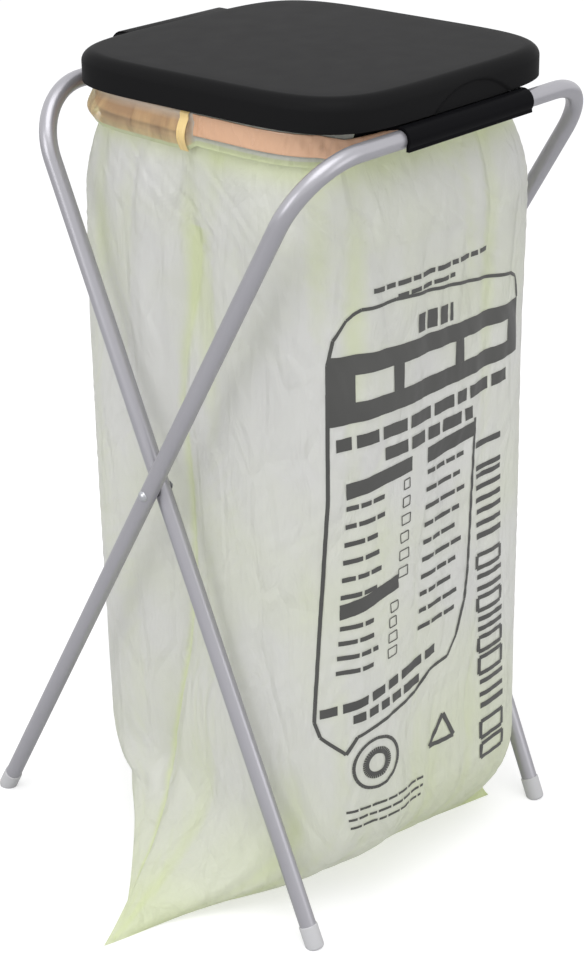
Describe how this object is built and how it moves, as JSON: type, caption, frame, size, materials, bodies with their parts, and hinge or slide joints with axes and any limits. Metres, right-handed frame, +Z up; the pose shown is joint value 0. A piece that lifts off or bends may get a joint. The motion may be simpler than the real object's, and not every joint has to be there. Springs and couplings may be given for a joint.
{
  "type": "bin bag holder",
  "caption": "Folding bin bag stand of crossed tube frames, with a bag ring, a hinged lid and a film bag.",
  "frame": {"origin": "on the floor below the middle of the whole object's box, bag included", "axes": "+Z up, -Y towards the front bar, +X to the right seen from the front"},
  "size_m": [0.511, 0.4289, 0.7968],
  "materials": {
    "painted_tube": "silver-grey satin paint",
    "grey_cap_plastic": "matte moulded",
    "zinc_rivet": "zinc plated",
    "washer_plastic": "matte",
    "black_plastic": "fine satin grain",
    "bag_film": "thin translucent film, slightly glossy",
    "band_rubber": "satin"
  },
  "bodies": {
    "rear_frame": {"rear_bar_frame": "painted_tube", "foot_cap_front_left": "grey_cap_plastic", "foot_cap_front_right": "grey_cap_plastic"},
    "front_frame": {"front_bar_frame": "painted_tube", "foot_cap_rear_left": "grey_cap_plastic", "foot_cap_rear_right": "grey_cap_plastic", "pivot_rivet_left": "zinc_rivet", "pivot_rivet_right": "zinc_rivet", "spacer_washer_left": "washer_plastic", "spacer_washer_right": "washer_plastic"},
    "ring": {"bag_ring": "black_plastic", "rubber_band": "band_rubber", "film_bag": "bag_film"},
    "lid": {"lid": "black_plastic"}
  },
  "joints": [
    {"name": "fold", "type": "hinge", "parent": "rear_frame", "child": "front_frame", "pos_m": [0.05227, -0.01258, 0.41149], "axis": [-1, 0, 0], "range_deg": [0, 48]},
    {"name": "ring_swing", "type": "hinge", "parent": "rear_frame", "child": "ring", "pos_m": [0.05227, 0.146, 0.748], "axis": [-1, 0, 0], "range_deg": [0, 97], "deforming": ["film_bag"]},
    {"name": "lid_hinge", "type": "hinge", "parent": "ring", "child": "lid", "pos_m": [0.05227, 0.146, 0.748], "axis": [-1, 0, 0], "range_deg": [0, 100]}
  ],
  "couplings": [
    {"joint": "ring_swing", "follows": "fold", "ratio": 2}
  ]
}
